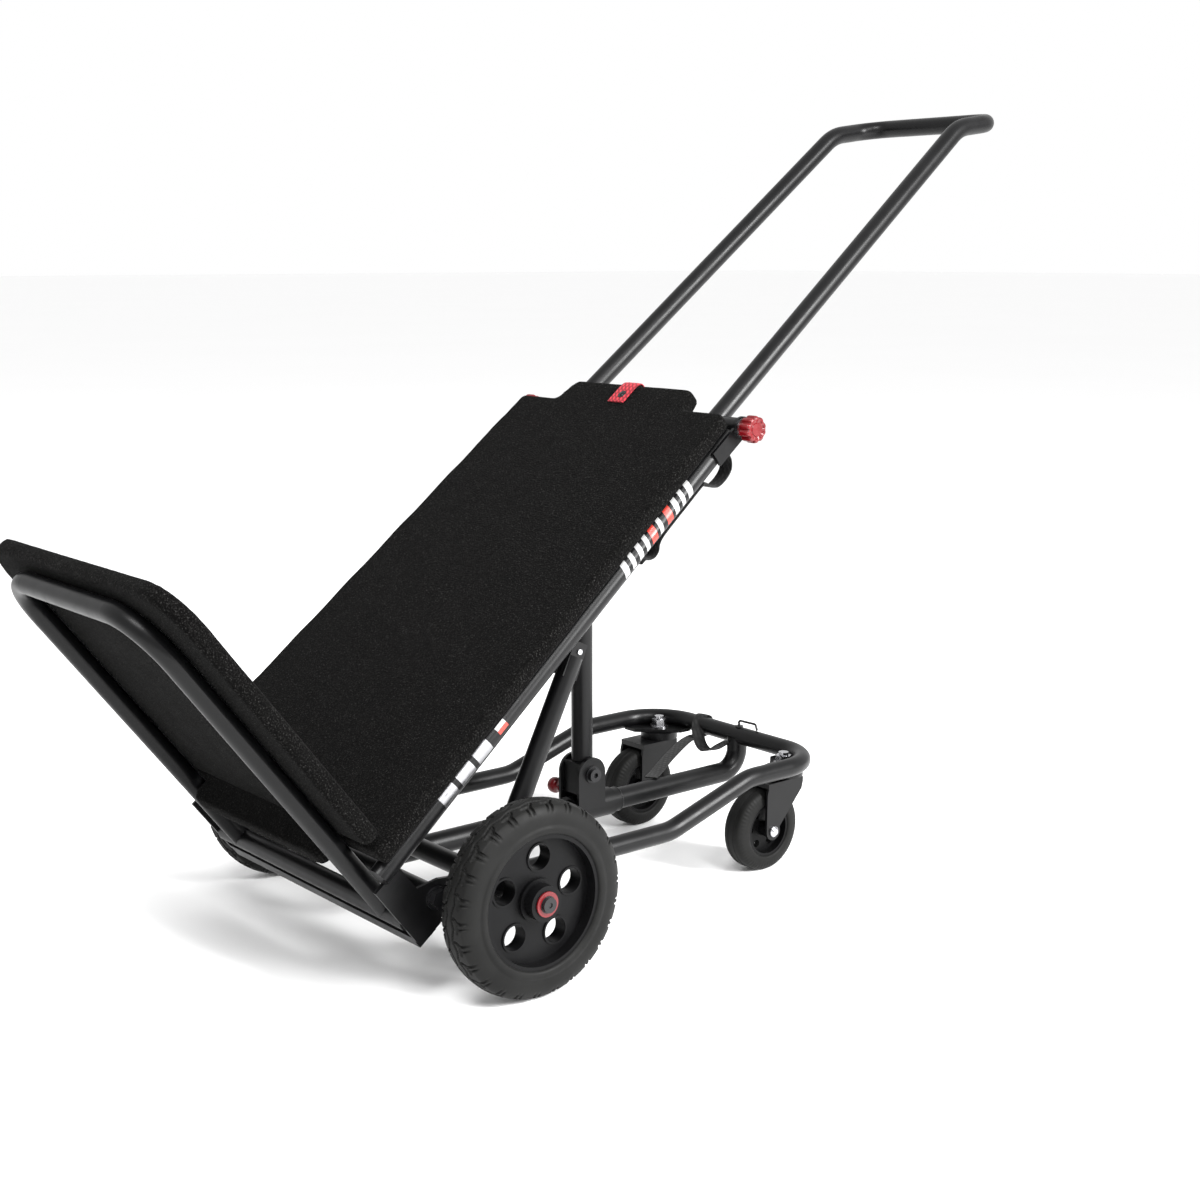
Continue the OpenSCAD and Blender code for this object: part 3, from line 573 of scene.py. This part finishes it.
RED_WIDTH = 0.027
RED_THICK = 0.0019
RAIL_TAPE_WIDTH = 0.019
RAIL_TAPE_THICK = 0.0019
TIE_WIDTH = 0.016
TIE_THICK = 0.0018
strap_x = -1.0
top = bs_high
face_d = bd_high
path = [lean_point(strap_x, top - 33, face_d + 1.4), lean_point(strap_x, top - 20, face_d + 1.5),
        lean_point(strap_x, top - 6, face_d + 1.3), lean_point(strap_x, top + 1.5, face_d - 1.5),
        lean_point(strap_x, top + 2.6, face_d - 9), lean_point(strap_x, top + 2.2, bd_low + 3),
        lean_point(strap_x, top - 3, bd_low - 2.0), lean_point(strap_x, top - 13, bd_low - 2.2)]
verts, faces = ribbon(path, Vector((1, 0, 0)), RED_WIDTH, RED_THICK)
add_piece("red_strap", verts, faces, "webbing_red", "chassis", ("board_strap",), smooth=60)


def snap(name, place, body, radius=5.6, material="bolt_black"):
    prof = [(0, 0.02), (0, radius), (0.5, radius), (0.9, radius - 0.4), (1.0, radius - 1.2),
            (0.8, radius - 1.7), (1.2, radius - 2.3), (1.9, radius - 3.4), (2.2, 0.02)]
    verts, faces = lathe_solid(prof, 40, place)
    return add_piece(name, verts, faces, material, body, smooth=40)


def snap_place(x, y, z):
    return lean_point(strap_x + 1.6 + y, top - 21 + z, face_d + 2.2 + x)


snap("strap_snap", snap_place, "chassis")

RAIL_LOW = -88.0
RAIL_END = 30
RAIL_TOP = board_frame_box("back_rail_left", lean_point, S_AXIS)[1]


def rail_centre_x(s):
    """The left rail's distance from the centre plane, from its own mesh ends."""
    mesh = NODES["back_rail_left"].data.vertices
    origin = lean_point(0, 0, 0)
    lows = [v.co.x / MM for v in mesh if (v.co - origin).dot(S_AXIS) / MM < RAIL_LOW + RAIL_END]
    highs = [v.co.x / MM for v in mesh if (v.co - origin).dot(S_AXIS) / MM > RAIL_TOP - RAIL_END]
    a = (min(lows) + max(lows)) / 2
    b = (min(highs) + max(highs)) / 2
    return a + (b - a) * (s - RAIL_LOW) / (RAIL_TOP - RAIL_LOW)


RAIL_SPAN = 500
RAIL_A = rail_centre_x(0)
RAIL_B = rail_centre_x(RAIL_SPAN)


def rail_x(s):
    return RAIL_A + (RAIL_B - RAIL_A) * s / RAIL_SPAN


rail_d_low, rail_d_high = board_frame_box("back_rail_left", lean_point, D_AXIS)
RAIL_D = (rail_d_low + rail_d_high) / 2
under = rail_d_low
loops = [(524, -1.5), (516, -2), (514, -10), (507, -18), (494, -20.5), (480, -18), (472, -9), (470, -2.5),
         (462, -1.1), (430, -1.05), (400, -1.05), (386, -1.6), (378, -4), (372, -8.5), (364, -9.5), (357, -6),
         (353, -2.2), (346, -1.6)]
path = [lean_point(rail_x(s) - 3.5, s, under + d) for s, d in loops]
verts, faces = ribbon(path, Vector((1, 0, 0)), RAIL_TAPE_WIDTH, RAIL_TAPE_THICK, steps=5)
add_piece("rail_webbing", verts, faces, "webbing_black", "chassis", ("rail_strap",), smooth=60)

tie = [(-1, 500, 124), (-10, 497, 118), (-22, 494, 110), (-34, 492, 107.5), (-46, 494, 114),
       (-56, 499, 126), (-63, 507, 137), (-66, 516, 143.2), (-68, 526, 139), (-69, 528.5, 129),
       (-68, 524, 118.5), (-66, 512, 116.5), (-62, 496, 118), (-54, 474, 117), (-42, 446, 112),
       (-28, 416, 106), (-14, 390, 101), (-4, 372, 99.6)]
path = [axle_point(*p) for p in tie]
turns = []
for i, p in enumerate(tie):
    blend = min(1.0, max(0.0, (i - 4) / 3))
    turns.append(Vector((0.35, 1, 0)).lerp(Vector((1, 0.25, 0)), blend))
verts, faces = ribbon(path, turns, TIE_WIDTH, TIE_THICK, steps=5)
add_piece("tie_webbing", verts, faces, "webbing_black", "caster_frame", ("tie_strap",), smooth=60)


# ---- knobs ----

def knob_radius(lobes, depth, start, stop):
    def radius(turn, x, r):
        if x < start or x > stop or r < 8:
            return r
        wave = 0.5 + 0.5 * math.cos(turn * lobes)
        return r - depth * (wave ** 2.2)
    return radius


knob_low, knob_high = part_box("clamp_knob_left")
KNOB_X = knob_low.x / MM
KNOB_LEN = (knob_high.x - knob_low.x) / MM
PIVOT = centre("pivot_tube")
for side, name in SIDES:
    def place(x, y, z, side=side):
        return Vector(((KNOB_X + x) * side * MM, PIVOT.y + y * MM, PIVOT.z + z * MM))

    n = KNOB_LEN
    prof = [(0, 0.02), (0, 9), (2.5, 9.4), (4, 9.8), (4.6, 13.6), (5.6, 14.6), (7.5, 15),
            (n - 4, 15), (n - 1.8, 14.5),
            (n - 0.6, 13.4), (n - 0.2, 12.2), (n - 0.3, 10.4), (n - 1.3, 9.8), (n - 1.3, 7.6), (n - 0.4, 7.0),
            (n - 0.2, 3), (n, 0.02)]
    verts, faces = lathe_solid(prof, 160, place, knob_radius(10, 2.4, 4.3, n - 0.35))
    add_piece(f"lobed_knob_{name}", verts, faces, "knob_red", f"knob_{name}",
              (f"clamp_knob_{name}",), smooth=35)

pull_low, pull_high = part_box("pull_knob")
pull = centre("pull_knob")
PULL_LEN = (pull_high.x - pull_low.x) / MM


def pull_place(x, y, z):
    return Vector((pull_high.x - x * MM, pull.y + y * MM, pull.z + z * MM))


n = PULL_LEN
prof = [(0.4, 3.4), (0, 5.2), (0.6, 6), (4, 5.6), (6.5, 5.9), (8, 7.4), (9.2, 9), (10.6, 9.5), (14.5, 9.5),
        (17, 8.9), (19, 7.2), (20.2, 4.6), (n, 0.02), (n - 3, 0.02), (9, 0.02), (9, 3.3)]
verts, faces = lathe(prof, 72, pull_place)
add_piece("red_pull", verts, faces, "knob_red", "pull_pin", ("pull_knob",), smooth=45)


# ---- decals: plain slanted bars and rectangles, with no lettering ----

def rail_patch(name, shape, material, lift=0.12, turn_low=-28, turn_high=62, rows=10):
    """A thin patch on the left rail. shape is four (s, v) corners in mm and 0..1 across the printed band."""
    (s0, v0), (s1, v1), (s2, v2), (s3, v3) = shape
    verts, faces = [], []
    cols = 16
    for layer in (lift, lift - 0.1):
        for i in range(cols + 1):
            u = i / cols
            for j in range(rows + 1):
                w = j / rows
                s = (s0 * (1 - u) + s1 * u) * (1 - w) + (s3 * (1 - u) + s2 * u) * w
                v = (v0 * (1 - u) + v1 * u) * (1 - w) + (v3 * (1 - u) + v2 * u) * w
                a = math.radians(turn_low + (turn_high - turn_low) * v)
                r = TUBE_R + layer
                verts.append(lean_point(rail_x(s) + r * math.cos(a), s, RAIL_D + r * math.sin(a)))
    size = (cols + 1) * (rows + 1)

    def at(layer, i, j):
        return layer * size + i * (rows + 1) + j

    for i in range(cols):
        for j in range(rows):
            faces.append((at(0, i, j), at(0, i + 1, j), at(0, i + 1, j + 1), at(0, i, j + 1)))
            faces.append((at(1, i, j), at(1, i, j + 1), at(1, i + 1, j + 1), at(1, i + 1, j)))
    for i in range(cols):
        for j in (0, rows):
            faces.append((at(0, i, j), at(1, i, j), at(1, i + 1, j), at(0, i + 1, j)))
    for j in range(rows):
        for i in (0, cols):
            faces.append((at(0, i, j), at(0, i, j + 1), at(1, i, j + 1), at(1, i, j)))
    return add_piece(name, verts, faces, material, "chassis", smooth=60)


TUBE_R = (rail_d_high - rail_d_low) / 2
WHITE, RED, SILVER = "decal_white", "decal_red", "decal_silver"
bars = [(318, 326, WHITE), (332, 338, WHITE), (345, 352, WHITE), (358, 364, WHITE), (369, 379, RED),
        (384, 390, WHITE), (398, 408, RED), (413, 420, WHITE), (426, 432, WHITE), (438, 446, WHITE)]
BAR_SLANT = 5
for i, (a, b, mat) in enumerate(bars):
    rail_patch(f"rail_bar_{i}", [(a, 0), (b, 0), (b + BAR_SLANT, 1), (a + BAR_SLANT, 1)], mat)
for i, (a, b) in enumerate(((6, 28), (34, 56), (62, 84))):
    rail_patch(f"rail_pill_{i}", [(a, 0.05), (b, 0.05), (b, 0.95), (a, 0.95)], SILVER)
rail_patch("rail_tag_red", [(98, 0.25), (112, 0.25), (112, 0.5), (98, 0.5)], RED)
rail_patch("rail_tag_white", [(98, 0.52), (112, 0.52), (112, 0.78), (98, 0.78)], WHITE)


# ---- weld beads ----

def weld(name, hub, axis, radius, bead, body, lumps=26):
    """A lumpy fillet ring round a tube end. hub and axis in metres, radius and bead in mm."""
    axis = axis.normalized()
    one = axis.orthogonal().normalized()
    two = axis.cross(one)
    verts, faces = [], []
    count, ring = 144, 10
    for i in range(count):
        turn = 2 * math.pi * i / count
        swell = 1 + 0.16 * abs(math.sin(turn * lumps / 2)) + 0.07 * math.sin(turn * 5 + 1)
        out = one * math.cos(turn) + two * math.sin(turn)
        for j in range(ring):
            around = 2 * math.pi * j / ring
            reach = (radius + bead * swell * math.cos(around)) * MM
            verts.append(hub + out * reach + axis * (bead * swell * math.sin(around) * MM))
    for i in range(count):
        for j in range(ring):
            a = i * ring + j
            b = i * ring + (j + 1) % ring
            c = ((i + 1) % count) * ring + (j + 1) % ring
            d = ((i + 1) % count) * ring + j
            faces.append((a, b, c, d))
    return add_piece(name, verts, faces, "frame_black", body, smooth=60)


PLATE_IN = 0.1846
PLATE_OUT = 0.1894
WELD_BEAD = 1.8
for side, name in SIDES:
    for face, x in (("", PLATE_IN), ("_out", PLATE_OUT)):
        weld(f"weld_plate{face}_{name}", Vector((side * x, AXLE_Y, AXLE_Z)), Vector((1, 0, 0)),
             TUBE_R, WELD_BEAD, "chassis")
weld("weld_clevis_ring", axle_point(0, 312, 85.5), Vector((0, 1, 0)), 13.3, 1.5, "caster_frame", 30)


# ---- materials and soft edges for the CAD nodes that stay ----

SLOT_OF = {s["node"]: s["material_slot"] for s in RECORD["subparts"]}
CRISP = {"foot_plate_left": 0.5, "foot_plate_right": 0.5, "foot_angle": 0.6, "clevis": 0.6,
         "caster_plates": 0.5, "caster_fork_left": 0.5, "caster_fork_right": 0.5, "rim_left": 0.7,
         "rim_right": 0.7, "hub_washers": 0.25, "hub_bolts": 0.4, "clevis_bolt": 0.4, "caster_nuts": 0.4,
         "tie_bolts": 0.5, "caster_rim_left": 0.4, "caster_rim_right": 0.4, "pivot_lugs": 0.5,
         "post_saddle": 0.5, "caster_axle_left": 0.4, "caster_axle_right": 0.4, "strut_rivets": 0.3,
         "hinge_sleeves": 0.5}
for node, obj in NODES.items():
    obj.data.materials.clear()
    obj.data.materials.append(MAT[SLOT_OF[node]])
    if node in CRISP:
        soft = obj.modifiers.new("soft_edges", "BEVEL")
        soft.width = CRISP[node] * MM
        soft.segments = 2
        soft.limit_method = "ANGLE"
        soft.angle_limit = math.radians(35)
        soft.use_clamp_overlap = True
        soft.harden_normals = False


# ---- floor and light ----

floor_mat, tree, shader, co = new_material("floor_pale")
tree.links.new(ramp(tree, noise(tree, co, 0.7, 2), [(0.0, (0.95, 0.95, 0.95)), (1.0, (0.97, 0.97, 0.97))]),
               shader.inputs["Base Color"])
shader.inputs["Roughness"].default_value = 0.9
shader.inputs["Specular IOR Level"].default_value = 0.05
floor_mesh = bpy.data.meshes.new("floor")
REACH = 60
floor_mesh.from_pydata([(-REACH, -REACH, 0), (REACH, -REACH, 0), (REACH, REACH, 0), (-REACH, REACH, 0)],
                       [], [(0, 1, 2, 3)])
floor = bpy.data.objects.new("floor", floor_mesh)
floor.data.materials.append(floor_mat)
bpy.context.scene.collection.objects.link(floor)

world = bpy.data.worlds.new("studio")
bpy.context.scene.world = world
world.use_nodes = True
world.node_tree.nodes["Background"].inputs["Color"].default_value = (1.0, 1.0, 1.0, 1)
world.node_tree.nodes["Background"].inputs["Strength"].default_value = 1.0
bpy.context.scene.view_settings.view_transform = "Standard"


def area_light(name, where, aim, size, power):
    data = bpy.data.lights.new(name, "AREA")
    data.shape = "RECTANGLE"
    data.size, data.size_y = size
    data.energy = power
    obj = bpy.data.objects.new(name, data)
    bpy.context.scene.collection.objects.link(obj)
    obj.location = where
    obj.rotation_euler = (Vector(aim) - Vector(where)).to_track_quat("-Z", "Y").to_euler()
    return obj


AIM = (0, 0, 0.3)
area_light("key", (0.9, -1.6, 2.6), AIM, (1.2, 0.8), 70)
area_light("side", (2.6, 1.2, 1.6), AIM, (0.5, 1.6), 190)
area_light("fill", (2.2, -0.4, 2.4), (0, 0.2, 0.3), (0.5, 1.2), 45)
